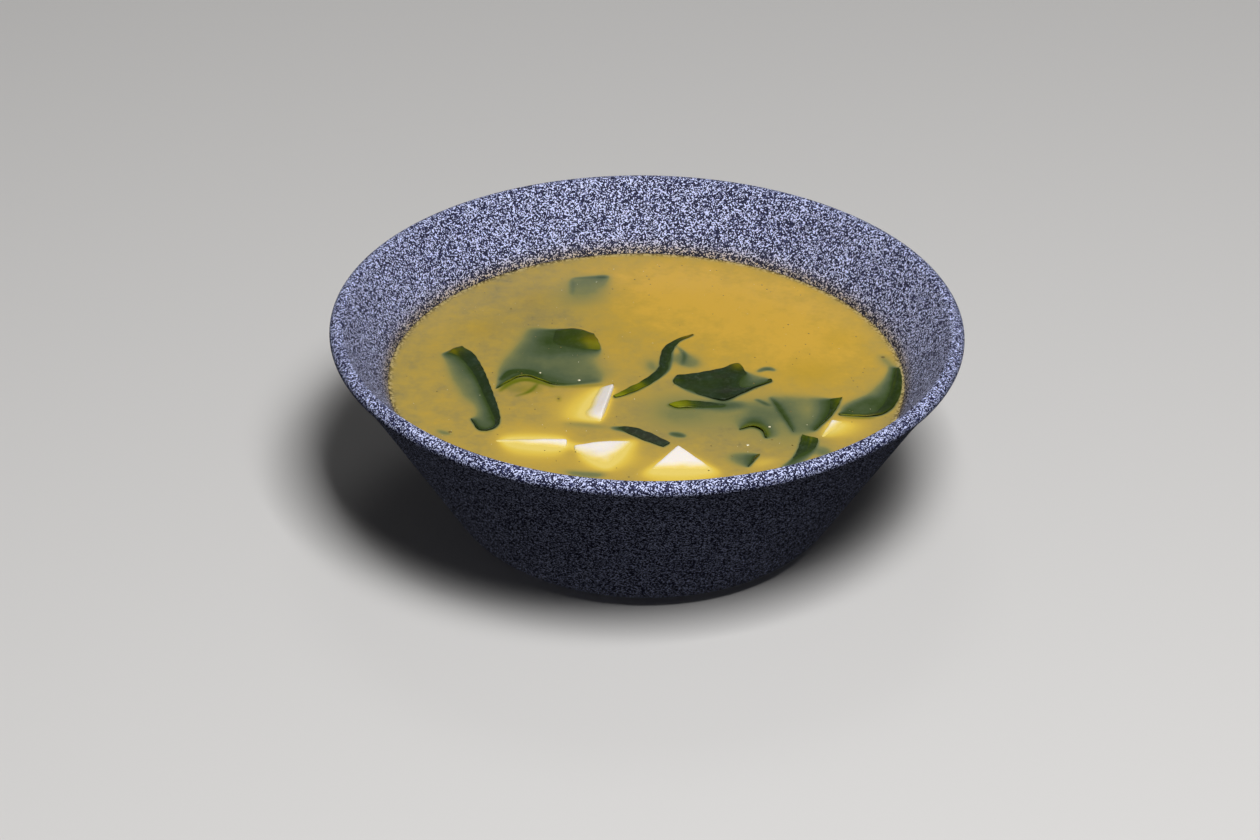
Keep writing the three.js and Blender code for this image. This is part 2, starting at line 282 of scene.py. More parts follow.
class Bench:
    """The nodes of one material, with short ways to add them."""

    def __init__(self, name: str) -> None:
        """Start an empty material.

        Args:
            name: The material's name.
        """
        self.material = bpy.data.materials.new(name)
        self.material.use_nodes = True
        self.tree = self.material.node_tree
        self.tree.nodes.clear()

    def node(
        self, kind: str, settings: dict[str, Any] | None = None, inputs: dict[Any, Any] | None = None
    ) -> Any:
        """Add a node.

        Args:
            kind: The node's type.
            settings: Its own settings, set first.
            inputs: Values or links for its sockets, by name or place.

        Returns:
            The node.
        """
        made = self.tree.nodes.new(kind)
        for name, value in (settings or {}).items():
            if name == "stops":
                self._set_stops(made.color_ramp, value)
            else:
                setattr(made, name, value)
        for name, value in (inputs or {}).items():
            value = value.socket if isinstance(value, Number) else value
            if isinstance(value, bpy.types.NodeSocket):
                self.tree.links.new(value, made.inputs[name])
            else:
                made.inputs[name].default_value = value
        return made

    @staticmethod
    def _set_stops(ramp: bpy.types.ColorRamp, stops: Sequence[tuple[float, Colour]]) -> None:
        """Give a ramp its stops, from first to last.

        Args:
            ramp: The ramp.
            stops: Position and colour of each stop.
        """
        while len(ramp.elements) < len(stops):
            ramp.elements.new(1.0)
        for element, (position, colour) in zip(ramp.elements, stops):
            element.position = position
            element.color = (*colour, 1.0)

    def math(self, operation: str, a: "Number | float", b: "Number | float") -> Number:
        """A Math node on two numbers."""
        made = self.node("ShaderNodeMath", {"operation": operation}, {0: a, 1: b})
        return Number(self, made.outputs[0])

    def place(self) -> bpy.types.NodeSocket:
        """Object coordinates."""
        return self.node("ShaderNodeTexCoord").outputs["Object"]

    def held(self, name: str) -> Number:
        """A number held at the mesh's points."""
        made = self.node("ShaderNodeAttribute", {"attribute_name": name, "attribute_type": "GEOMETRY"})
        return Number(self, made.outputs["Fac"])

    def noise(self, grain: float, detail: float = 2.0, roughness: float = 0.5, seed: float = 0.0) -> Number:
        """Soft random grain on Object coordinates.

        Args:
            grain: Size of one light or dark patch, in metres.
            detail: How many finer layers are added.
            roughness: How strong those are.
            seed: Which draw of the noise it is.

        Returns:
            The grain, round 0.5.
        """
        made = self.node(
            "ShaderNodeTexNoise",
            {"noise_dimensions": "4D"},
            {
                "Vector": self.place(),
                "W": seed,
                "Scale": 0.5 / grain,
                "Detail": detail,
                "Roughness": roughness,
            },
        )
        return Number(self, made.outputs["Fac"])

    def cells(self, grain: float) -> Number:
        """An even random number for each of many small cells.

        Args:
            grain: Size of a cell, in metres.

        Returns:
            The number, 0 to 1.
        """
        made = self.node("ShaderNodeTexVoronoi", inputs={"Vector": self.place(), "Scale": 1.0 / grain})
        parted = self.node("ShaderNodeSeparateColor", inputs={0: made.outputs["Color"]})
        return Number(self, parted.outputs[0])

    def ramp(self, factor: Number, stops: Sequence[tuple[float, Colour]]) -> bpy.types.NodeSocket:
        """A colour that follows a number through stops."""
        return self.node("ShaderNodeValToRGB", {"stops": stops}, {"Fac": factor}).outputs["Color"]

    def mixed(self, factor: "Number | float", a: Any, b: Any, blend: str = "MIX") -> bpy.types.NodeSocket:
        """Two colours mixed.

        Args:
            factor: Share of the second.
            a: First colour, a value or a link.
            b: Second colour, a value or a link.
            blend: How they mix.

        Returns:
            The mixed colour.
        """
        first, second = ((*c, 1.0) if isinstance(c, tuple) else c for c in (a, b))
        made = self.node(
            "ShaderNodeMix",
            {"data_type": "RGBA", "blend_type": blend, "clamp_factor": True},
            {"Factor": factor, 6: first, 7: second},
        )
        return made.outputs[2]

    def bump(self, height: Number, depth: float, strength: float = 1.0) -> bpy.types.NodeSocket:
        """A relief in the normal, for a height of 0 to 1 that stands for depth metres."""
        made = self.node("ShaderNodeBump", inputs={"Height": height, "Distance": depth, "Strength": strength})
        return made.outputs["Normal"]

    def finish(self, **inputs: Any) -> bpy.types.Material:
        """Add the surface and the output.

        Args:
            inputs: Values or links for the surface's sockets, with _ for a space.

        Returns:
            The material.
        """
        named = {name.replace("_", " "): value for name, value in inputs.items()}
        surface = self.node("ShaderNodeBsdfPrincipled", inputs=named)
        self.node("ShaderNodeOutputMaterial", inputs={"Surface": surface.outputs[0]})
        return self.material


# ---- Finishes ----


@dataclass(frozen=True)
class StonewareFinish:
    """Matte stoneware, closely speckled in dark blue-grey and pale lavender, stained over the soup's edge."""

    grain: float = 0.28 * MM
    dark: Colour = linear(14, 17, 54)
    middle: Colour = linear(70, 77, 130)
    pale: Colour = linear(208, 216, 255)
    stain: Colour = linear(236, 206, 146)

    def build(self) -> bpy.types.Material:
        """Mix the speckle from cells and a soft grain, and lay the stain over it.

        Returns:
            The material.
        """
        bench = Bench("stoneware")
        coarse = bench.noise(1.2 * self.grain, detail=1.0, roughness=0.6, seed=1.0)
        drift = bench.noise(9 * MM, detail=1.0, seed=3.0)
        speckle = bench.cells(self.grain) * 0.8 + coarse * 0.2 + (drift - 0.5) * 0.08
        level = speckle.rising(0.55, 0.7)
        colour = bench.ramp(level, [(0.0, self.dark), (0.45, self.middle), (1.0, self.pale)])
        reach = (bench.held("stain") * (0.5 + coarse)).clipped()
        stained = bench.mixed(reach, colour, bench.mixed(1.0, colour, self.stain, "MULTIPLY"))
        return bench.finish(
            Base_Color=stained,
            Roughness=0.62 + 0.2 * (1.0 - level),
            Normal=bench.bump(level, 0.12 * MM, 0.55),
        )


@dataclass(frozen=True)
class BrothFinish:
    """Cloudy golden broth: what is sunk in it shows through as a glow of yellow or a veil of grey-green, and
    the veil also holds painted contact shadow round leaves that stand above it.
    """

    # The darkest stop; the painted shade along the wall pulls the tone towards it.
    edge: Colour = linear(112, 100, 74)
    olive: Colour = linear(150, 134, 80)
    dull: Colour = linear(173, 148, 72)
    honey: Colour = linear(190, 156, 62)
    golden: Colour = linear(206, 165, 64)
    mustard: Colour = linear(184, 150, 44)
    moss: Colour = linear(104, 110, 22)
    grit_dark: Colour = linear(66, 56, 40)
    grit_pale: Colour = linear(190, 172, 120)
    glow_stops: tuple = (
        (0.0, linear(192, 160, 68)),
        (0.35, linear(206, 172, 68)),
        (0.65, linear(219, 187, 74)),
        (0.85, linear(226, 198, 86)),
        (1.0, linear(231, 206, 106)),
    )
    murk_stops: tuple = (
        (0.0, linear(164, 146, 76)),
        (0.25, linear(136, 132, 78)),
        (0.45, linear(108, 114, 76)),
        (0.65, linear(84, 96, 68)),
        (0.82, linear(70, 84, 52)),
        (1.0, linear(54, 70, 30)),
    )

    def build(self) -> bpy.types.Material:
        """Lay the clouds, the glow, the veil, the green of sunk rims, and grit at the wall.

        Returns:
            The material.
        """
        bench = Bench("broth")
        clouds = bench.noise(2.8 * MM, detail=4.0, roughness=0.6, seed=4.0)
        haze = bench.noise(0.7 * MM, detail=1.0, seed=5.0)
        tone = (bench.held("tone") + (clouds - 0.5) * 0.8 + (haze - 0.5) * 0.3).clipped()
        colour = bench.ramp(
            tone,
            [(0.0, self.edge), (0.2, self.olive), (0.45, self.dull), (0.75, self.honey), (1.0, self.golden)],
        )
        colour = bench.mixed(bench.held("mustard"), colour, self.mustard)
        glow = bench.held("glow")
        colour = bench.mixed((glow * 1.6).clipped(), colour, bench.ramp(glow, self.glow_stops))
        murk = (bench.held("murk") * (0.7 + clouds * 0.6) + (haze - 0.5) * 0.05).clipped()
        colour = bench.mixed((murk * 3.0).clipped(), colour, bench.ramp(murk, self.murk_stops))
        colour = bench.mixed(bench.held("moss"), colour, self.moss)
        grit = bench.noise(0.3 * MM, detail=1.0, seed=11.0).rising(0.42, 0.58)
        shore = bench.held("shore")
        colour = bench.mixed(shore * 0.9, colour, bench.mixed(grit, self.grit_dark, self.grit_pale))
        ripples = bench.bump(clouds, 0.02 * MM, 0.2)
        return bench.finish(Base_Color=colour, Roughness=0.2, IOR=1.34, Normal=ripples)


@dataclass(frozen=True)
class TofuFinish:
    """Smooth bean curd, near white, that turns cream and then yellow towards the soup."""

    white: Colour = linear(234, 226, 218)
    ivory: Colour = linear(236, 222, 182)
    cream: Colour = linear(232, 208, 120)
    yellow: Colour = linear(230, 203, 100)

    def build(self) -> bpy.types.Material:
        """Colour by how far up it is from the soup to where it is fully white, with fine pits.

        Returns:
            The material.
        """
        bench = Bench("tofu")
        mottle = bench.noise(2.2 * MM, detail=2.0, seed=6.0)
        pits = bench.noise(0.5 * MM, detail=2.0, seed=7.0)
        dry = (bench.held("dry") + (mottle - 0.5) * 0.2).clipped()
        stops = [(0.0, self.yellow), (0.14, self.cream), (0.34, self.ivory), (0.6, self.white)]
        colour = bench.ramp(dry, stops)
        return bench.finish(
            Base_Color=colour,
            Roughness=0.42,
            Subsurface_Weight=0.25,
            Subsurface_Radius=(2.0 * MM, 1.5 * MM, 0.8 * MM),
            Subsurface_Scale=1.0,
            Normal=bench.bump(pits, 0.08 * MM, 0.35),
        )


@dataclass(frozen=True)
class WakameFinish:
    """Wet seaweed: near-black green where thick, yellow-green where young and thin."""

    stops: tuple = (
        (0.0, linear(44, 47, 38)),
        (0.25, linear(28, 44, 6)),
        (0.5, linear(56, 70, 4)),
        (0.75, linear(96, 100, 4)),
        (1.0, linear(124, 128, 10)),
    )
    film: Colour = linear(44, 58, 24)
    slate: Colour = linear(42, 56, 44)
    brown: Colour = linear(116, 92, 8)
    # Pale grey of the painted sheen spots.
    painted_sheen: Colour = linear(98, 110, 90)

    def build(self) -> bpy.types.Material:
        """Colour by age and thinness, with painted sheen as pale fine spots, and wrinkles.

        Returns:
            The material.
        """
        bench = Bench("wakame")
        blotches = bench.noise(1.8 * MM, detail=3.0, seed=8.0)
        wrinkles = bench.noise(0.7 * MM, detail=2.0, seed=9.0)
        young = (bench.held("young") + (blotches - 0.5) * 0.45).clipped()
        green = bench.ramp(young, self.stops)
        old = blotches.rising(0.42, 0.66) * (1.0 - young.rising(0.25, 0.5)) * 0.8
        # Pale fine spots on the older, darker parts: painted sheen.
        spots = bench.noise(0.45 * MM, detail=3.0, roughness=0.7, seed=12.0).rising(0.5, 0.78) * 0.45
        aged_with_sheen = bench.mixed(spots * (1.0 - young), bench.mixed(old, green, self.slate), self.painted_sheen)
        body = bench.mixed(bench.held("brown"), aged_with_sheen, self.brown)
        wet = bench.held("film") * (1.0 - young.rising(0.3, 0.7) * 0.85)
        return bench.finish(
            Base_Color=bench.mixed(wet, body, self.film),
            Roughness=0.32 + 0.12 * wrinkles,
            IOR=1.25,
            Normal=bench.bump(wrinkles, 0.06 * MM, 0.3),
        )


@dataclass(frozen=True)
class PlainWetFinish:
    """One wet colour with a fine grain, for small things afloat."""

    name: str
    colour: Colour
    shade: Colour
    roughness: float

    def build(self) -> bpy.types.Material:
        """Mix the two colours by a fine grain.

        Returns:
            The material.
        """
        bench = Bench(self.name)
        grain = bench.noise(0.3 * MM, seed=10.0)
        return bench.finish(Base_Color=bench.mixed(grain, self.colour, self.shade), Roughness=self.roughness)


# ---- The bowl ----


class Side(Enum):
    """The two faces of the bowl's wall."""

    OUTER = 1
    INNER = -1


@dataclass
class StoneBowl:
    """A flared bowl, turned from one section: a straight wall that bends out under a full-round lip."""

    rim_radius: float
    height: float
    soup_level: float
    wall: float = 4.1 * MM
    flare: float = math.radians(31.8)
    lip_turn: float = 0.95 * MM
    lip_turn_start: float = 42 * MM
    base_corner: float = 14.8 * MM
    floor_height: float = 7 * MM
    inner_corner: float = 12 * MM
    recess_depth: float = 1.2 * MM
    ring_width: float = 6 * MM
    stain_height: float = 2.4 * MM
    around: int = 480

    @property
    def lip_centre(self) -> tuple[float, float]:
        """Radius and height of the middle of the lip's round."""
        return self.rim_radius - self.wall / 2, self.height - self.wall / 2

    def radius(self, side: Side, z: Any) -> Any:
        """Radius of one face of the wall at a height.

        The middle of the wall leans out in a straight line, and over the last stretch a parabola adds
        lip_turn.

        Args:
            side: The face.
            z: Height, a number or an array.

        Returns:
            The radius, as z came.
        """
        lip_r, lip_z = self.lip_centre
        bend = np.maximum(0.0, (z - self.lip_turn_start) / (lip_z - self.lip_turn_start))
        middle = lip_r - self.lip_turn + math.tan(self.flare) * (z - lip_z) + self.lip_turn * bend**2
        return middle + side.value * self.wall / 2 / math.cos(self.flare)

    @staticmethod
    def _arc(
        centre: tuple[float, float], radius: float, start: float, end: float, steps: int
    ) -> np.ndarray:
        """Section points at centre + radius (cos a, sin a), for a from start to end."""
        angle = np.linspace(start, end, steps + 1)
        return np.stack([centre[0] + radius * np.cos(angle), centre[1] + radius * np.sin(angle)], axis=1)

    def _wall_side(self, side: Side, start: float, end: float, steps: int) -> np.ndarray:
        """Section points up or down one face, ends left out."""
        z = np.linspace(start, end, steps + 1)[1:-1]
        return np.stack([self.radius(side, z), z], axis=1)

    def inner_bend(self) -> np.ndarray:
        """Section points of the round between wall and floor inside.

        Returns:
            Rows of radius and height, from the wall down to the floor.
        """
        z = self.floor_height + self.inner_corner
        r = self.radius(Side.INNER, z) - self.inner_corner / math.cos(self.flare)
        return self._arc((r, z), self.inner_corner, -self.flare, -math.pi / 2, 10)

    def section(self) -> np.ndarray:
        """The whole section, from the middle of the foot, up outside, over the lip and down inside.

        Returns:
            Rows of radius and height.
        """
        base_r = self.radius(Side.OUTER, self.base_corner) - self.base_corner / math.cos(self.flare)
        lip_r, lip_z = self.lip_centre
        lean = math.atan(math.tan(self.flare) + 2 * self.lip_turn / (lip_z - self.lip_turn_start))
        recess = base_r - self.ring_width
        corner = self._arc((base_r, self.base_corner), self.base_corner, -math.pi / 2, -self.flare, 16)
        lip = self._arc((lip_r, lip_z), self.wall / 2, -lean, math.pi - lean, 20)
        inside = self.inner_bend()
        soft = 0.3 * MM
        foot = [
            (0, self.recess_depth),
            (recess / 2, self.recess_depth),
            (recess - self.recess_depth - soft, self.recess_depth),
            (recess - self.recess_depth, self.recess_depth - soft / 2),
            (recess - soft / 2, soft),
            (recess + soft, 0),
        ]
        floor = [(inside[-1, 0] * share, self.floor_height) for share in (0.66, 0.33, 0.0)]
        return np.concatenate(
            [
                foot,
                corner,
                self._wall_side(Side.OUTER, corner[-1, 1], lip[0, 1], 24),
                lip,
                self._wall_side(Side.INNER, lip[-1, 1], inside[0, 1], 40),
                inside,
                floor,
            ]
        )

    def build(self) -> bpy.types.Object:
        """Turn the section and stain the inside just over the soup.

        Returns:
            The bowl.
        """
        skin = revolved(self.section(), self.around)
        x, y, z = skin.points.T
        inside = (np.hypot(x, y) < self.radius(Side.INNER, z) + self.wall / 2) & (z > self.soup_level / 2)
        over = (z - self.soup_level) / self.stain_height
        skin.values["stain"] = np.where(inside, np.exp(-np.maximum(over, 0.0) ** 2), 0.0)
        return skin.lay("bowl_stoneware", StonewareFinish().build(), ["bowl"], "stoneware")


# ---- Garnish ----


def hull_planes(corners: np.ndarray) -> np.ndarray:
    """The flat faces round a cloud of corners, as rows of outward normal and distance from the origin.

    Rows that agree to a thousandth in the normal and to a micrometre in distance are one face.

    Args:
        corners: Rows of places.

    Returns:
        Rows of nx, ny, nz and d, with n . p = d on the face, each face once.
    """
    alike = (1e3, 1e3, 1e3, 1e6)
    hull = bmesh.new()
    for corner in corners:
        hull.verts.new(corner)
    bmesh.ops.convex_hull(hull, input=hull.verts)
    hull.normal_update()
    middle = corners.mean(axis=0)
    rows = []
    for face in hull.faces:
        normal, point = np.array(face.normal), np.array(face.verts[0].co)
        normal = normal if normal @ (point - middle) > 0 else -normal
        rows.append([*normal, normal @ point])
    hull.free()
    rows = np.array(rows)
    _, kept = np.unique(np.round(rows * alike), axis=0, return_index=True)
    return rows[np.sort(kept)]


@dataclass
class TofuBlock:
    """A cut block with softened edges.

    Seen from its middle, each direction meets the flat faces at distances r1, r2 and so on, and the skin
    stands at (r1^-p + r2^-p + ...)^(-1/p), which rounds the edges where two distances are alike.
    """

    name: str
    top: Sequence[Place]
    down: Place
    level: float
    sharpness: float = 44.0
    steps: int = 150
    full_white: float = 1.1 * MM
    uneven: float = 0.06 * MM
    first_wave: Place = (9.0, 5.0, 7.0)
    second_wave: Place = (-6.0, 11.0, 4.0)
    wave_shift: float = 1.3
    level_share: float = 0.05

    def planes(self) -> np.ndarray:
        """Its flat faces in metres."""
        upper = np.asarray(self.top, float) * MM + (0, 0, self.level)
        return hull_planes(np.concatenate([upper, upper + np.asarray(self.down) * MM]))

    def top_height(self, x: np.ndarray, y: np.ndarray) -> tuple[np.ndarray, np.ndarray]:
        """Height of its upper side over places of the plan.

        Args:
            x: Places along X, metres.
            y: Places along Y, metres.

        Returns:
            The height, the lowest of the upward faces there, and whether the place is over the block.
        """
        normal, reach = np.split(self.planes(), [3], axis=1)
        up = normal[:, 2] > self.level_share
        rise = reach[:, :, None] - normal[:, :1, None] * x.ravel() - normal[:, 1:2, None] * y.ravel()
        height = (rise[up, 0] / normal[up, 2:]).min(axis=0)
        below = normal[:, 2] < -self.level_share
        bottom = (rise[below, 0] / normal[below, 2:]).max(axis=0)
        side = rise[~(up | below), 0]
        inside = (height > bottom) & (side > 0).all(axis=0)
        return height.reshape(x.shape), inside.reshape(x.shape)

    def build(self, material: bpy.types.Material) -> bpy.types.Object:
        """Carry the rounded distance over all directions, with a slight unevenness of the cut.

        Args:
            material: Its finish.

        Returns:
            The block.
        """
        planes = self.planes()
        upper = np.asarray(self.top, float) * MM + (0, 0, self.level)
        middle = upper.mean(axis=0) + np.asarray(self.down) * MM / 2
        polar = np.linspace(0, np.pi, self.steps + 1)[1:-1, None]
        turn = np.linspace(0, 2 * np.pi, 2 * self.steps, endpoint=False)
        level_part = np.sin(polar)
        way = np.stack([level_part * np.cos(turn), level_part * np.sin(turn), np.cos(polar) + 0 * turn], -1)
        way = np.concatenate([way.reshape(-1, 3), [[0, 0, 1], [0, 0, -1]]])
        slack = planes[:, 3] - planes[:, :3] @ middle
        inverse = np.maximum(way @ planes[:, :3].T, 0.0) / slack
        distance = (inverse**self.sharpness).sum(axis=1) ** (-1 / self.sharpness)
        waves = np.sin(way @ self.first_wave) + np.sin(way @ self.second_wave + self.wave_shift)
        points = middle + way * (distance - self.uneven * (1 + waves / 2))[:, None]
        index = np.arange(len(points) - 2).reshape(-1, 2 * self.steps)
        poles = np.concatenate(
            [fan_faces(index[0], len(points) - 2), fan_faces(index[-1][::-1], len(points) - 1)]
        )
        dry = (points[:, 2] - self.level) / self.full_white
        faces = grid_faces(np.concatenate([index, index[:, :1]], axis=1))
        skin = Skin(points, faces, poles, {"dry": np.clip(dry, 0.0, 1.0)}).outward()
        return skin.lay(f"{self.name}_block", material, [self.name], "tofu")


@dataclass
class WakameLeaf:
    """A thin wet sheet through a net of places, with a wavy rim and fine wrinkles.

    Half its thickness grows from 0 at the rim as a quarter round, and young spots are yellow-green.
    """

    name: str
    net: Sequence[Sequence[Place]]
    level: float
    young: Sequence[Patch] = ()
    brown: Sequence[Patch] = ()
    tone: float = 0.0
    half: float = 0.16
    across: int = 44
    along: int = 100
    ripple: float = 0.03
    fray: float = 0.07
    film_height: float = 0.3
    film_share: float = 0.85
    rim_reach: float = 1.6
    round_reach: float = 2.5

    def sheet(self, across: int, along: int) -> np.ndarray:
        """Its middle surface in millimetres, height over the soup."""
        return smooth_sheet(self.net, across, along)

    @staticmethod
    def rim_distance(sheet: np.ndarray) -> np.ndarray:
        """Distance to the nearest of a sheet's four edges, measured along the grid.

        Args:
            sheet: Grid of places.

        Returns:
            The distance at each place, in millimetres.
        """
        found = []
        for axis in (0, 1):
            step = np.linalg.norm(np.diff(sheet, axis=axis), axis=-1)
            run = np.insert(np.cumsum(step, axis=axis), 0, 0.0, axis=axis)
            found += [run, np.take(run, [-1], axis=axis) - run]
        return np.minimum.reduce(found)

    def skin(self) -> Skin:
        """The closed sheet: an upper and a lower side that share their rim.

        Returns:
            The skin, with young, brown and film held at its points.
        """
        sheet = self.sheet(self.across, self.along)
        seed = float(sum(map(ord, self.name)))
        x, y = sheet[..., 0], sheet[..., 1]
        rim = self.rim_distance(sheet)
        near = np.exp(-rim / self.rim_reach)
        wave = sum(
            np.sin(1.3 * k * x * math.cos(seed * k) + 1.3 * k * y * math.sin(seed * k) + seed) / k
            for k in (1, 2, 3)
        )
        sheet = sheet.copy()
        sheet[..., 0] += self.fray * near * np.sin(2.1 * y + seed)
        sheet[..., 1] += self.fray * near * np.sin(1.9 * x + 2 * seed)
        sheet[..., 2] += self.ripple * wave * (0.5 + 0.5 * near)
        normal = np.cross(np.gradient(sheet, axis=0), np.gradient(sheet, axis=1))
        normal /= np.linalg.norm(normal, axis=-1, keepdims=True)
        inner = np.clip(rim / (self.round_reach * self.half), 0.0, 1.0)
        offset = normal * (self.half * np.sqrt(1.0 - (1.0 - inner) ** 2))[..., None]
        u, v = np.meshgrid(*(np.linspace(0, 1, n) for n in rim.shape), indexing="ij")
        streaks = sum(np.sin(9 * k * u + 2.5 * math.sin(seed * k) * v + seed * k) / 3 for k in (1, 2, 3))
        young = self.tone + 0.1 * streaks + 0.06 * np.exp(-rim / 0.5)
        young += patches(self.young, x, y)
        upper = np.arange(rim.size).reshape(rim.shape)
        lower = upper.copy()
        within = lower[1:-1, 1:-1]
        within[:] = rim.size + np.arange(within.size).reshape(within.shape)
        low_side = (sheet - offset)[1:-1, 1:-1].reshape(-1, 3)
        points = np.concatenate([(sheet + offset).reshape(-1, 3), low_side]) * MM + (0, 0, self.level)
        quads = np.concatenate([grid_faces(upper), grid_faces(lower)[:, ::-1]])
        film = self.film_share * np.exp(-np.maximum(sheet[..., 2] + self.half, 0.0) / self.film_height)
        held = {
            name: np.concatenate([value.ravel(), value[1:-1, 1:-1].ravel()])
            for name, value in {"young": young, "brown": patches(self.brown, x, y), "film": film}.items()
        }
        return Skin(points, quads, values=held).outward()

    def build(self, material: bpy.types.Material) -> bpy.types.Object:
        """Lay the closed sheet."""
        return self.skin().lay(f"{self.name}_leaf", material, [self.name], "wakame")


# ---- The soup ----


@dataclass
class DepthMap:
    """What shows through the soup from below, on a square raster over its surface, in millimetres.

    A thing at depth d weighs exp(-d / reach), and is blurred by softness + spread d. The raster is kept as
    layers by depth, and each is blurred on its own.
    """

    reach: float
    softness: float = 0.3
    spread: float = 0.45
    half: float = 68.0
    pitch: float = 0.25
    depths: tuple[float, ...] = (0.0, 0.7, 1.5, 3.0, 5.0, 8.0)

    def __post_init__(self) -> None:
        """Start with empty layers."""
        self.cells = int(round(2 * self.half / self.pitch))
        self.layers = np.zeros((len(self.depths), self.cells, self.cells))
        self.result = np.zeros((self.cells, self.cells))

    def grid(self) -> tuple[np.ndarray, np.ndarray]:
        """Middles of the cells, x and y."""
        middle = (np.arange(self.cells) + 0.5) * self.pitch - self.half
        return np.meshgrid(middle, middle, indexing="ij")

    def add(self, x: np.ndarray, y: np.ndarray, depth: np.ndarray, area: np.ndarray) -> None:
        """Drop samples into the cells, each shared between the two nearest layers.

        Args:
            x: Places along X.
            y: Places along Y.
            depth: Depth under the soup; above it counts as 0.
            area: The area of surface that each sample stands for, seen from above.
        """
        depth = np.maximum(depth, 0.0).ravel()
        weight = area.ravel() / self.pitch**2 * np.exp(-depth / self.reach)
        column = np.clip(((x.ravel() + self.half) / self.pitch).astype(int), 0, self.cells - 1)
        row = np.clip(((y.ravel() + self.half) / self.pitch).astype(int), 0, self.cells - 1)
        cell = column * self.cells + row
        position = np.interp(depth, self.depths, np.arange(len(self.depths)))
        for k in range(len(self.depths)):
            share = np.maximum(0.0, 1.0 - np.abs(position - k))
            self.layers[k] += np.bincount(cell, weight * share, self.cells**2).reshape(self.cells, self.cells)

    def settle(self) -> None:
        """Blur the layers by products with a bell curve in frequency, and add them, at most 1."""
        fx = np.fft.fftfreq(self.cells, self.pitch)[:, None]
        fy = np.fft.rfftfreq(self.cells, self.pitch)[None, :]
        turned = 0.0
        for depth, layer in zip(self.depths, self.layers):
            blur = self.softness + self.spread * depth
            bell = np.exp(-2 * (np.pi * blur) ** 2 * (fx**2 + fy**2))
            turned = turned + np.fft.rfft2(np.minimum(layer, 1.0)) * bell
        self.result = np.clip(np.fft.irfft2(turned, s=self.result.shape), 0.0, 1.0)

    def read(self, x: np.ndarray, y: np.ndarray) -> np.ndarray:
        """Value at places, straight between the four nearest cells.

        Args:
            x: Places along X.
            y: Places along Y.

        Returns:
            The value at each.
        """
        column = np.clip((x + self.half) / self.pitch - 0.5, 0, self.cells - 1.001)
        row = np.clip((y + self.half) / self.pitch - 0.5, 0, self.cells - 1.001)
        i, j = column.astype(int), row.astype(int)
        s, t = column - i, row - j
        value = self.result
        return (1 - s) * ((1 - t) * value[i, j] + t * value[i, j + 1]) + s * (
            (1 - t) * value[i + 1, j] + t * value[i + 1, j + 1]
        )


@dataclass(frozen=True)
class Streak:
    """A fold or shred sunk in the soup, seen as a soft line: places, width, depth and share of darkness."""

    line: Sequence[tuple[float, float]]
    width: float
    depth: float = 0.0
    strength: float = 1.0
    steps: int = 160
    lanes: int = 8

    def drop_into(self, depth_map: DepthMap) -> None:
        """Fill a band of its width along a smooth line through its places, thinner towards both ends.

        Args:
            depth_map: The map that it goes into.
        """
        path = smooth_line(self.line, self.steps)
        along = np.gradient(path, axis=0)
        length = np.linalg.norm(along, axis=1, keepdims=True)
        aside = np.stack([-along[:, 1], along[:, 0]], axis=1) / length
        across = (np.arange(self.lanes) + 0.5) / self.lanes - 0.5
        taper = np.sin(np.pi * np.linspace(0.03, 0.97, self.steps + 1))[:, None] ** 0.5
        points = path[:, None] + aside[:, None] * (across * self.width * taper)[..., None]
        area = length * self.width * taper / self.lanes * self.strength + 0 * across
        depth_map.add(points[..., 0], points[..., 1], np.full(area.shape, self.depth), area)


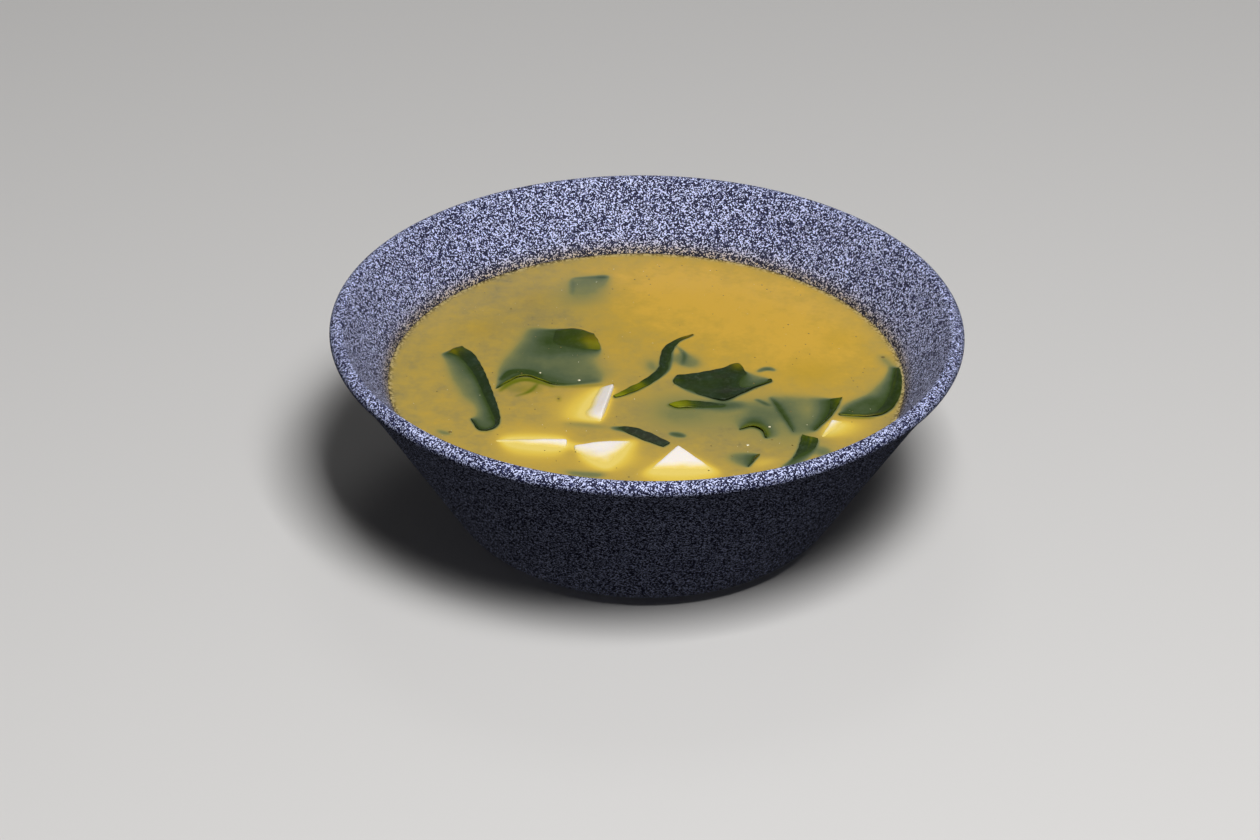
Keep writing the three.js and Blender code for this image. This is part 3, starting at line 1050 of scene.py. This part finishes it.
@dataclass
class SoupPool:
    """The soup: a fine top that climbs a little at the wall, over a plain body in the bowl."""

    bowl: StoneBowl
    level: float
    tofu: Sequence[TofuBlock]
    leaves: Sequence[WakameLeaf]
    glow_map: DepthMap
    murk_map: DepthMap
    moss_map: DepthMap
    steps: int = 286
    climb: float = 0.25
    climb_reach: float = 0.8
    contact_shade_height: float = 1.2
    shore_width: float = 0.9
    swell: float = 0.03
    reach_in: float = 0.15 * MM
    shown_depth: float = 12.0
    leaf_samples: tuple[int, int] = (220, 420)
    sunk_samples: tuple[int, int] = (90, 120)
    plain_tone: float = 0.52
    edge_shade: float = 0.25
    edge_reach: float = 3.0

    def _disc(self) -> tuple[np.ndarray, np.ndarray]:
        """A square grid pressed into a disc of radius 1: squares round the middle become circles.

        Returns:
            The x and y of each place.
        """
        side = np.linspace(-1, 1, self.steps + 1)
        a, b = np.meshgrid(side, side, indexing="ij")
        wide = np.abs(a) >= np.abs(b)
        radius = np.where(wide, a, b)
        safe = np.where(radius == 0, 1.0, radius)
        angle = np.where(wide, np.pi / 4 * b / safe, np.pi / 2 - np.pi / 4 * a / safe)
        return radius * np.cos(angle), radius * np.sin(angle)

    def _fill_maps(self) -> None:
        """Drop the garnish into the maps: tofu as its upper side, leaves as fine samples of their sheets,
        whose parts above the soup also lay painted contact shadow round them.
        """
        x, y = self.glow_map.grid()
        for block in self.tofu:
            height, inside = block.top_height(x * MM, y * MM)
            depth = (self.level - height) / MM
            shown = inside & (depth < self.shown_depth)
            self.glow_map.add(x[shown], y[shown], depth[shown], np.full(shown.sum(), self.glow_map.pitch**2))
        sheets = [leaf.sheet(*self.leaf_samples) for leaf in self.leaves]
        sheets += [smooth_sheet(net, *self.sunk_samples) for net in SUNK_SHEETS]
        for sheet in sheets:
            run, rise = np.gradient(sheet, axis=0), np.gradient(sheet, axis=1)
            area = np.abs(run[..., 0] * rise[..., 1] - run[..., 1] * rise[..., 0])
            # Parts above the soup still darken the soup under and round them, less the higher they stand:
            # painted contact shadow at the leaves' edges.
            clear = np.exp(-np.maximum(sheet[..., 2], 0.0) / self.contact_shade_height)
            self.murk_map.add(sheet[..., 0], sheet[..., 1], -sheet[..., 2], area * clear)
        for streaks, depth_map in (
            (MURK_STREAKS, self.murk_map),
            (GLOW_STREAKS, self.glow_map),
            (MOSS_STREAKS, self.moss_map),
        ):
            for streak in streaks:
                streak.drop_into(depth_map)
            depth_map.settle()

    def _tone(self, x: np.ndarray, y: np.ndarray, radius: float) -> np.ndarray:
        """Colour of clear soup: a plain level, wide patches, and a darker edge of painted shade along the
        wall.

        Args:
            x: Places along X.
            y: Places along Y.
            radius: The soup's radius, in metres.

        Returns:
            The colour's number at each place, 0 olive to 1 golden.
        """
        from_wall = radius / MM - np.hypot(x, y)
        plain = self.plain_tone + patches(TONE_PATCHES, x, y)
        return plain - self.edge_shade * np.exp(-from_wall / self.edge_reach)

    def skin(self) -> Skin:
        """Top, side and bottom as one closed skin, with what shows through held at its points.

        Returns:
            The skin.
        """
        self._fill_maps()
        radius = self.bowl.radius(Side.INNER, self.level) + self.reach_in
        disc_x, disc_y = self._disc()
        x, y = disc_x * radius / MM, disc_y * radius / MM
        from_wall = radius / MM - np.hypot(x, y)
        murk = np.clip(self.murk_map.read(x, y) + patches(HAZE_PATCHES, x, y), 0.0, 1.0)
        glow = np.clip(self.glow_map.read(x, y) + patches(GLOW_PATCHES, x, y), 0.0, 1.0)
        z = self.climb * np.exp(-from_wall / self.climb_reach)
        z += self.swell * (np.sin(0.21 * x + 0.13 * y) + np.sin(0.17 * y - 0.11 * x + 1.0))
        index = np.arange(x.size).reshape(x.shape)
        ring = np.concatenate([index[0, :-1], index[:-1, -1], index[-1, :0:-1], index[:0:-1, 0]])
        edge_x, edge_y = disc_x.ravel()[ring], disc_y.ravel()[ring]
        bend = self.bowl.inner_bend()
        wall_z = np.linspace(self.level, bend[0, 1], 4)[1:-1]
        below = np.concatenate([np.stack([self.bowl.radius(Side.INNER, wall_z), wall_z], axis=1), bend[::3]])
        side = np.stack([below[:, :1] * edge_x, below[:, :1] * edge_y, below[:, 1:] + 0 * edge_x], axis=-1)
        top = np.stack([x * MM, y * MM, self.level + z * MM], axis=-1).reshape(-1, 3)
        lower = x.size + np.arange(side.shape[0] * ring.size).reshape(-1, ring.size)
        rings = np.concatenate([ring[None], lower])
        walls = grid_faces(np.concatenate([rings, rings[:, :1]], axis=1))[:, ::-1]
        points = np.concatenate([top, side.reshape(-1, 3), [[0, 0, below[-1, 1]]]])
        plain = np.zeros(len(points) - x.size)
        held = {
            "murk": murk,
            "glow": glow,
            "moss": self.moss_map.read(x, y),
            "tone": self._tone(x, y, radius),
            "mustard": patches(MUSTARD_PATCHES, x, y),
            "shore": np.exp(-((from_wall / self.shore_width) ** 2)),
        }
        return Skin(
            points,
            np.concatenate([grid_faces(index), walls]),
            fan_faces(rings[-1], len(points) - 1),
            {name: np.concatenate([value.ravel(), plain]) for name, value in held.items()},
        ).outward()

    def build(self) -> bpy.types.Object:
        """Lay the pool."""
        return self.skin().lay("soup_broth", BrothFinish().build(), ["soup"], "broth")


# ---- Small things afloat ----


@dataclass
class Afloat:
    """Many small flattened balls at the soup's surface, as one mesh: those of a table, then random ones."""

    name: str
    finish: PlainWetFinish
    table: Sequence[Place]
    count: int
    spread: float
    seed: int
    smallest: float
    largest: float
    flatness: float
    sunk: float
    across: int = 8

    def _places(self) -> np.ndarray:
        """Even random places in a disc: the root of an even draw as radius, and an even angle.

        Returns:
            Rows of x and y in millimetres.
        """
        draw = np.random.default_rng(self.seed).random((self.count, 2))
        reach, angle = self.spread * np.sqrt(draw[:, 0]), 2 * np.pi * draw[:, 1]
        return np.stack([reach * np.cos(angle), reach * np.sin(angle)], axis=1)

    def build(self, level: float) -> bpy.types.Object:
        """Repeat one ball of rings, (sin p cos a, sin p sin a, flat cos p), scaled and moved to each place.

        Args:
            level: Height of the soup.

        Returns:
            The mesh of all of them.
        """
        known = np.array(self.table)
        places = np.concatenate([known[:, :2], self._places()])
        random_sizes = np.random.default_rng(self.seed + 1).uniform(self.smallest, self.largest, self.count)
        sizes = np.concatenate([known[:, 2], random_sizes])
        section = np.linspace(0, np.pi, self.across + 1)
        ball = revolved(np.stack([np.sin(section), -np.cos(section)], axis=1), 2 * self.across)
        stretch = sizes[:, None, None] * np.array([1.0, 1.0, self.flatness]) * MM
        lift = np.column_stack([places * MM, level - self.sunk * sizes * MM])
        points = ball.points[None] * stretch + lift[:, None]
        shift = (np.arange(len(places)) * len(ball.points))[:, None, None]
        skin = Skin(
            points.reshape(-1, 3),
            (ball.quads[None] + shift).reshape(-1, 4),
            (ball.triangles[None] + shift).reshape(-1, 3),
        )
        return skin.lay(self.name, self.finish.build(), [], "broth")


# ---- Places on the soup ----

TOFU_BLOCKS = {
    "tofu_middle": (
        [(-8.3, -4.5, 1.2), (-10.6, -18.2, 1.4), (-11.4, -22.8, -0.2), (-17.5, -22.4, -1.1),
         (-24, -21.5, -2.3), (-21.5, -5.2, -3.4)],
        (3.5, -1, -11),
    ),
    "tofu_front_left": (
        [(-37, -25, -3.4), (-20.5, -25.5, -3.2), (-19.2, -32, 1.1), (-20, -44, -3.2), (-35, -43, -3.4),
         (-37.4, -31.8, 0.25)],
        (0, 2, -10),
    ),
    "tofu_front": (
        [(-17.6, -34.2, 0.7), (-10.4, -32.9, 1.3), (-3.5, -31, 0.35), (-1.8, -43.5, -3.4),
         (-9.2, -45.5, -0.4), (-16.6, -46, -3.2)],
        (0, 4, -10),
    ),
    "tofu_front_right": (
        [(8.2, -35.6, 2.1), (-1.1, -47.4, -0.6), (10.2, -56.5, -3), (19.4, -45.8, -0.5)],
        (0, 5, -10),
    ),
    "tofu_right": (
        [(46.8, -20, 0.75), (43.8, -27.4, 0.15), (54, -29, -2.2), (58.8, -19.4, -2.2)],
        (-5, 3, -9),
    ),
}

LEAF_NETS = {
    "wakame_hook": [
        [(-47.5, 14.5, 0.3), (-44.2, 10.2, 0.5), (-41.4, 2.2, 0.6), (-38.4, -10, 0.6), (-36.3, -21, 0.5),
         (-37.1, -25.6, 0.4), (-39.4, -27.3, 0.3)],
        [(-49.6, 13.2, 0.3), (-47, 8.5, 0), (-44, 0.6, -0.4), (-41.2, -10, -0.5), (-39, -20, -0.6),
         (-39.6, -24, -1), (-41.6, -26.8, 0.3)],
        [(-52.4, 10.6, -0.4), (-50.2, 5, -3), (-47, -2, -4.5), (-44.2, -11, -4.2), (-42.6, -18, -2.8),
         (-42.4, -20.4, -1.6), (-43.7, -21.6, 0.3)],
    ],
    "wakame_flap": [
        [(-31, 25.5, -3), (-26, 24.3, -0.6), (-19, 24.4, 0.4), (-13.8, 21.8, 0.5)],
        [(-34, 15, -3.2), (-27, 16.5, -0.8), (-19.5, 16.8, 0.2), (-12, 15.4, 0.35)],
        [(-37, 7, -2.8), (-30, 7.5, -2), (-21, 8.6, -2.3), (-12.4, 9.4, -3.2)],
        [(-37.6, -3.5, -0.6), (-31, 2.6, -0.8), (-22, -0.8, -1.3), (-12, 1.5, -3)],
        [(-38, -6.5, 0.2), (-31, -0.2, 0.5), (-22.6, -4.2, 0.25), (-11.5, -2, -1)],
    ],
    "wakame_twist": [
        [(11.8, 22.9, 0.2), (7.4, 19.4, 0.4), (4.3, 15, 0.5), (3.4, 9.6, 0.5), (3, 4.6, 0.5), (-0.4, -1, 0.4),
         (-4.6, -5.6, 0.4), (-8.3, -9.4, 0.3)],
        [(12.1, 22.5, 0.2), (8.2, 18.6, 0.1), (6.6, 13.6, -0.1), (6.3, 8, -0.3), (5.4, 3.4, -0.2),
         (1.5, -2.4, 0), (-3.2, -7.2, 0.3), (-7.7, -10.2, 0.3)],
    ],
    "wakame_centre": [
        [(7.8, 1.5, 0.2), (13.5, 2.8, 0.4), (19, 5, 0.5), (23.3, 7.5, 0.6), (25.2, 4.2, 0.1), (28, 2.2, -2.2),
         (31.6, 0.2, 0.4)],
        [(6.8, -0.8, 0.2), (12.2, -1.6, 0.1), (17, -1.6, -0.1), (21.5, -1.2, 0.2), (24.8, -0.8, -0.6),
         (28, -0.2, -1.6), (31.9, -0.4, 0.4)],
        [(7.2, -2.6, 0.1), (10.8, -6, -0.2), (15.2, -8.8, 0.1), (19.8, -10.8, 0.5), (24, -7.6, 0.6),
         (28, -3.9, 0.6), (31.9, -1, 0.4)],
    ],
    "wakame_sliver": [
        [(5.7, -12.8, 0.2), (8.8, -11.5, 0.4), (12, -11.4, 0.4), (15.5, -11.8, 0.3), (19.8, -12.6, 0.1)],
        [(5.9, -13.3, 0.2), (7.9, -14.6, 0.3), (11, -14.4, 0.2), (15, -14.2, -0.3), (19.6, -13.6, -0.6)],
    ],
    "wakame_curl": [
        [(23.5, -25, 0.4), (26.4, -23.7, 0.8), (29, -25.2, 0.8), (30, -28.8, 0.4)],
        [(24, -19.5, -3.2), (27.6, -18.4, -3), (30.8, -21.4, -3), (32.6, -26.6, -3)],
    ],
    "wakame_sail": [
        [(49.5, -8.4, 0.4), (46.9, -16.8, 0.4), (42.2, -24.6, 0.1)],
        [(46, -8.9, -0.3), (44.4, -16.4, -0.8), (41.2, -24.4, -1.2)],
        [(39.5, -8.3, -3.4), (40.2, -16.8, -3.6), (39.7, -25.4, -3)],
        [(33.2, -8.3, -3), (35.6, -16.6, -2.8), (38.1, -25.6, -2.4)],
        [(31.4, -8.6, 0), (34.1, -16.3, 0.1), (37, -25.4, 0.1)],
    ],
    "wakame_wall_front": [
        [(39, -27.2, 0.4), (38.5, -30.6, 0.4), (37.6, -34.8, 0.2), (35.8, -39.4, -0.2), (33.4, -43, -0.8)],
        [(43, -28.9, 0.4), (42.6, -31.4, 0.1), (41.2, -35.4, -0.6), (39, -39.6, -1.4), (36.4, -43.4, -2)],
    ],
    "wakame_wall_right": [
        [(64.5, 7, 0.4), (64.9, 0, 0.7), (64, -8, 0.7), (61.4, -14.4, 0.6), (57, -17.4, 0.5),
         (48.7, -17, 0.2)],
        [(63.6, 7.2, -0.1), (62.8, 0.8, 0), (61, -6.6, -0.3), (58.2, -11.6, -0.6), (54.4, -14.8, -0.9),
         (48.5, -16.6, 0.1)],
        [(62.4, 7.6, -0.9), (60.4, 1.8, -1.8), (57.4, -3.8, -2.4), (54.4, -8.4, -2.4), (51.4, -12, -1.8),
         (48.3, -16.2, 0.1)],
    ],
    "wakame_corner": [
        [(20.4, -36.6, -2.2), (24.5, -36, -1.4), (28.5, -36.5, 0.3)],
        [(20.2, -40, -3.6), (23.2, -41.8, -2.6), (25.6, -42.4, 0.1)],
    ],
    "wakame_dark": [
        [(-8.8, -24.4, -0.6), (-4.4, -24.4, 0.3), (0.6, -27.3, 0.6), (6.2, -32, 0.4)],
        [(-8, -25.6, -0.9), (-5.2, -26.7, -0.1), (-0.6, -30.4, 0.1), (4.6, -33.8, 0.2)],
    ],
}

# Sunk leaves that show only through the soup: the faint one at the back.
SUNK_SHEETS = [
    [
        [(-20.8, 50.4, -2.6), (-16, 52, -2), (-10.6, 53.4, -1.4)],
        [(-20.8, 45, -4.4), (-16, 46, -4.8), (-10.8, 47, -3.8)],
        [(-21, 38, -5.4), (-16, 38.4, -6), (-11.4, 39, -5.6)],
    ],
]

# Yellow-green spots of each leaf: x, y, reach and strength.
YOUNG_SPOTS = {
    "wakame_hook": [(-50, 13, 3.5, 0.4)],
    "wakame_flap": [(-13, 17, 4, 0.5), (-20, 21, 6, 0.12), (-35, -3.2, 2.4, 0.4), (-31, -0.4, 2.4, 0.45),
                    (-27, -1.8, 2.4, 0.4), (-22, -4, 3, 0.2)],
    "wakame_twist": [(-7, -9.5, 3.5, 0.75), (-2, -4.5, 3, 0.5), (11, 22, 3, 0.3)],
    "wakame_centre": [(23.6, 6.6, 2.4, 0.6), (8, -1.5, 2, 0.2), (30, -1.5, 3, 0.25)],
    "wakame_sliver": [(8, -13.5, 4.5, 0.75)],
    "wakame_curl": [(27, -24, 3, 0.2), (29.6, -27, 2.4, 0.1)],
    "wakame_sail": [(48.5, -9.5, 2.5, 0.2)],
    "wakame_wall_front": [(40.5, -28.5, 3.5, 0.3)],
    "wakame_wall_right": [(52.5, -17, 4, 0.5)],
    "wakame_corner": [(28, -37, 2, 0.3)],
}

# Olive-brown spots of each leaf, in the same way.
BROWN_SPOTS = {
    "wakame_hook": [(-50.5, 12.2, 3, 0.35)],
    "wakame_flap": [(-13, 18.5, 3, 0.5)],
    "wakame_twist": [(11, 22.4, 3, 0.8)],
    "wakame_centre": [(23.2, 6.6, 2.2, 0.35)],
    "wakame_wall_right": [(55, -17.4, 3, 0.35)],
    "wakame_corner": [(27.6, -37.6, 2, 0.4)],
}

# How light each leaf is as a whole, where it isn't as most are.
PLAIN_TONE = 0.22
LEAF_TONES = {
    "wakame_dark": 0.0,
    "wakame_centre": 0.18,
    "wakame_curl": 0.42,
    "wakame_flap": 0.34,
    "wakame_sail": 0.34,
    "wakame_wall_right": 0.36,
}

# Wide patches of the soup as x, y, reach and strength. Tone is golden above 0 and olive below; then
# haze, glow and mustard.
TONE_PATCHES = [
    (28, 36, 30, 0.42),
    (44, 14, 16, 0.25),
    (2, 46, 18, 0.32),
    (-34, -4, 30, -0.12),
    (-28, 36, 18, -0.25),
    (10, -22, 16, -0.22),
    (30, -28, 16, -0.2),
]
HAZE_PATCHES = [
    (9, -16, 11, 0.34),
    (29, -19, 11, 0.28),
    (38, -30, 8, 0.15),
    (-20, 42, 9, 0.12),
    (-11, 2, 4, 0.15),
    (40, -15, 4, -0.14),
]
GLOW_PATCHES = [
    (-29, -33, 10, 0.2),
    (-10, -39, 10, 0.24),
    (9, -49, 12, 0.25),
    (-19, -15, 8, 0.18),
]
MUSTARD_PATCHES = [
    (42, 5, 7, 0.5),
    (50, 21, 5, 0.35),
    (-43, 24, 5, 0.4),
    (-29.5, 40, 5, 0.35),
    (-10, 22, 6, 0.25),
]

# What shows through as soft lines. Murk: haze beside the leaves, fold lines, small scraps. Moss: the
# green of thin rims. Glow: tofu.
MURK_STREAKS = [
    Streak([(-9, -24.8), (-15, -23.6), (-21, -23)], 1.8, 1.4, 0.6),
    Streak([(26, -13), (30, -15), (34, -19)], 9.0, 3.6, 0.7),
    Streak([(13, -12.5), (19, -13), (25, -12.5)], 4.0, 1.6, 0.8),
    Streak([(7, 12.5), (10, 9.5), (13, 6)], 6.0, 2.6, 1.0),
    Streak([(0.5, 10), (1.5, 6), (2, 2)], 3.5, 2.4, 0.8),
    Streak([(7.5, 17), (9.6, 12.5), (9.2, 7)], 0.8, 0.4, 0.8),
    Streak([(28.2, 4.2), (30.8, 6), (32.8, 4.8)], 1.6, 0.3, 0.8),
    Streak([(32.2, -9.5), (34.6, -16.5), (37, -24.5)], 0.8, 0.2, 0.6),
    Streak([(27.7, -9.5), (31.2, -12.8)], 0.7, 0.1, 0.8),
    Streak([(-37, -1.8), (-34.3, 2.5), (-30, 2.2), (-26.5, 0.2)], 1.6, 0.15, 0.9),
    Streak([(65.6, 11), (66.6, 0), (65.8, -8)], 2.2, 0.1, 1.0),
    Streak([(59.6, 14), (61.4, 10), (63.6, 6)], 2.2, 1.4, 0.6),
    Streak([(-20, 51.6), (-15, 52.4), (-10.6, 52.6)], 0.9, 0.3, 0.5),
    Streak([(-20, 51.5), (-19.8, 47.5), (-19.8, 43)], 0.8, 0.5, 0.4),
    Streak([(-13.5, 52.8), (-10.6, 53)], 1.6, 0.4, 0.3),
    Streak([(42.5, -32.5), (44, -34.5), (45.5, -37)], 4.0, 2.0, 0.8),
    Streak([(-49.5, 7), (-47, -2), (-43.6, -14)], 4.6, 3.0, 0.85),
    Streak([(49, -14.5), (53, -11.5), (57.5, -8)], 4.0, 1.8, 0.7),
    Streak([(-20, -46), (-14, -47.5), (-9, -47)], 2.6, 1.6, 0.8),
    Streak([(-52, -27), (-50, -28.5), (-48, -29)], 1.6, 0.8, 0.7),
    Streak([(6, -27), (8, -27.6), (10, -28.4)], 2.0, 0.3, 0.8),
]
MOSS_STREAKS = [
    Streak([(-37, -7.8), (-34.7, -3.4), (-31, -1.2), (-27.4, -2.4), (-23.4, -5)], 2.2, 0.2, 1.0),
    Streak([(-24, -5), (-18, -4.6), (-11, -3.6)], 1.5, 0.3, 0.6),
    Streak([(-27.4, -3.4), (-29.5, -7.6), (-33, -10)], 0.9, 0.1, 1.0),
    Streak([(-35, -7), (-31, -5), (-26.5, -7)], 6.0, 1.0, 0.5),
    Streak([(-22, -9.5), (-21.8, -12.5)], 0.9, 0.2, 0.6),
    Streak([(23.8, -24.2), (26.6, -22.4), (29.6, -24), (31, -28)], 2.4, 0.0, 0.5),
    Streak([(5.2, -13.2), (8.4, -14.4), (12.5, -14.6)], 1.2, 0.0, 0.7),
    Streak([(49, -17.4), (53, -18), (57.5, -17.8)], 1.1, 0.0, 0.7),
    Streak([(-8.6, -10.2), (-4, -7.6), (1, -2.8)], 1.0, 0.0, 0.5),
    Streak([(-41, -27.6), (-38, -27.4)], 0.8, 0.0, 0.4),
]
GLOW_STREAKS = [
    Streak([(25.5, -42), (29.5, -40.2), (33.2, -38.6)], 4.0, 0.6, 1.0),
    Streak([(-20.6, -32.6), (-18.4, -33.4), (-16.2, -34.2)], 3.4, 0.1, 1.0),
    Streak([(-36, -33.6), (-28, -34.6), (-20, -36)], 4.0, 1.6, 0.55),
    Streak([(-10, -41.5), (-6, -40), (-3, -37)], 4.6, 2.0, 0.6),
]

# Larger bubbles and crumbs: x, y and radius.
BUBBLES = [
    (25.5, -32, 0.42), (-17, -1.5, 0.45), (-45, 7.5, 0.4), (-20, 22, 0.4), (-27, 2, 0.3),
    (61.5, -10.5, 0.35), (31, -23, 0.35), (-3, -25.5, 0.3), (14, -1, 0.25), (20, -5, 0.25),
]
CRUMBS = [(-22, -11, 0.4), (60.5, 12.5, 0.6), (-48.5, -28, 0.5)]


# ---- Studio ----


@dataclass
class Studio:
    """A pale floor, one large soft light high in front, weak ones behind and low in front, and the camera."""

    floor_size: float = 6.0
    key_power: float = 18.0
    key_size: float = 0.4
    key_distance: float = 1.3
    key_height: float = math.radians(61)
    key_turn: float = math.radians(18)
    rim_power: float = 0.8
    low_power: float = 0.6
    low_height: float = math.radians(7)
    fill: float = 0.035
    backdrop: Colour = (0.6, 0.6, 0.6)
    floor_colour: Colour = (0.62, 0.61, 0.6)
    sensor: float = 36.0
    lens: float = 130.98
    eye: Place = (3.0745 * MM, -1005.198 * MM, 625.718 * MM)
    yaw: float = math.radians(-0.4038)
    pitch: float = math.radians(30.7905)
    roll: float = math.radians(0.6917)

    def _floor(self) -> None:
        """A plain pale floor that only the camera sees, so that it throws no light up at the bowl."""
        half = self.floor_size / 2
        mesh = bpy.data.meshes.new("floor")
        corners = [(-half, -half, 0), (half, -half, 0), (half, half, 0), (-half, half, 0)]
        mesh.from_pydata(corners, [], [(0, 1, 2, 3)])
        bench = Bench("floor_paint")
        mesh.materials.append(bench.finish(Base_Color=(*self.floor_colour, 1.0), Roughness=0.9))
        floor = bpy.data.objects.new("floor", mesh)
        floor.visible_diffuse = False
        floor.visible_glossy = False
        bpy.context.scene.collection.objects.link(floor)

    def _softbox(self, name: str, power: float, height: float, turn: float) -> None:
        """Hang a square light that faces the soup.

        Args:
            name: The light's name.
            power: Watts.
            height: Angle over the floor in front.
            turn: Angle to the right.
        """
        data = bpy.data.lights.new(name, "AREA")
        data.energy = power
        data.size = self.key_size
        lamp = bpy.data.objects.new(name, data)
        away = self.key_distance * math.cos(height)
        lamp.location = (away * math.sin(turn), -away * math.cos(turn), self.key_distance * math.sin(height))
        lamp.rotation_euler = (math.pi / 2 - height, 0, turn)
        bpy.context.scene.collection.objects.link(lamp)

    def _world(self) -> None:
        """A weak even light from all round, and a plain backdrop for the camera."""
        world = bpy.data.worlds.new("studio")
        world.use_nodes = True
        nodes, links = world.node_tree.nodes, world.node_tree.links
        background = nodes["Background"]
        seen = nodes.new("ShaderNodeLightPath")
        mix = nodes.new("ShaderNodeMix")
        mix.data_type = "RGBA"
        mix.inputs[6].default_value = (self.fill, self.fill, self.fill, 1.0)
        mix.inputs[7].default_value = (*self.backdrop, 1.0)
        links.new(seen.outputs["Is Camera Ray"], mix.inputs["Factor"])
        links.new(mix.outputs[2], background.inputs["Color"])
        bpy.context.scene.world = world

    def _camera(self) -> None:
        """The camera, turned by its yaw, its pitch down and its roll."""
        data = bpy.data.cameras.new("camera")
        data.lens = self.lens
        data.sensor_width = self.sensor
        camera = bpy.data.objects.new("camera", data)
        right = np.array([math.cos(self.yaw), -math.sin(self.yaw), 0.0])
        ahead = np.array(
            [
                math.sin(self.yaw) * math.cos(self.pitch),
                math.cos(self.yaw) * math.cos(self.pitch),
                -math.sin(self.pitch),
            ]
        )
        up = np.cross(right, ahead)
        rolled_right = right * math.cos(self.roll) + up * math.sin(self.roll)
        rolled_up = up * math.cos(self.roll) - right * math.sin(self.roll)
        turn = Matrix(np.stack([rolled_right, rolled_up, -ahead], axis=1).tolist()).to_4x4()
        camera.matrix_world = Matrix.Translation(self.eye) @ turn
        bpy.context.scene.collection.objects.link(camera)
        bpy.context.scene.camera = camera

    def build(self) -> None:
        """Set up floor, lights, backdrop and camera."""
        self._floor()
        self._softbox("key", self.key_power, self.key_height, self.key_turn)
        self._softbox("rim", self.rim_power, math.pi - self.key_height, 0.0)
        self._softbox("low", self.low_power, self.low_height, 0.0)
        self._world()
        self._camera()
        bpy.context.scene.view_settings.view_transform = "Standard"


# ---- The whole ----


def main() -> None:
    """Build each sub-assembly in turn, and the studio."""
    logging.basicConfig(level=logging.INFO, format="%(message)s")
    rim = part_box("bowl")[1]
    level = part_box("soup")[1].z
    bowl = StoneBowl(rim_radius=rim.x, height=rim.z, soup_level=level)
    bowl.build()

    tofu = [TofuBlock(name, top, down, level) for name, (top, down) in TOFU_BLOCKS.items()]
    curd = TofuFinish().build()
    for block in tofu:
        block.build(curd)

    leaves = [
        WakameLeaf(
            name,
            net,
            level,
            young=YOUNG_SPOTS.get(name, ()),
            brown=BROWN_SPOTS.get(name, ()),
            tone=LEAF_TONES.get(name, PLAIN_TONE),
        )
        for name, net in LEAF_NETS.items()
    ]
    seaweed = WakameFinish().build()
    for leaf in leaves:
        leaf.build(seaweed)

    SoupPool(
        bowl,
        level,
        tofu,
        leaves,
        glow_map=DepthMap(reach=1.9, softness=1.1, spread=0.8),
        murk_map=DepthMap(reach=4.0, softness=0.3, spread=0.5),
        moss_map=DepthMap(reach=4.0),
    ).build()

    foam = PlainWetFinish("bubble", linear(206, 196, 150), linear(226, 220, 196), 0.12)
    Afloat(
        "bubbles", foam, BUBBLES, count=110, spread=62, seed=3,
        smallest=0.06, largest=0.13, flatness=0.6, sunk=0.2,
    ).build(level)
    paste = PlainWetFinish("crumb", linear(132, 108, 42), linear(92, 84, 30), 0.4)
    Afloat(
        "crumbs", paste, CRUMBS, count=170, spread=62.5, seed=5,
        smallest=0.1, largest=0.26, flatness=0.35, sunk=0.1,
    ).build(level)

    Studio().build()


if __name__ == "__main__":
    main()
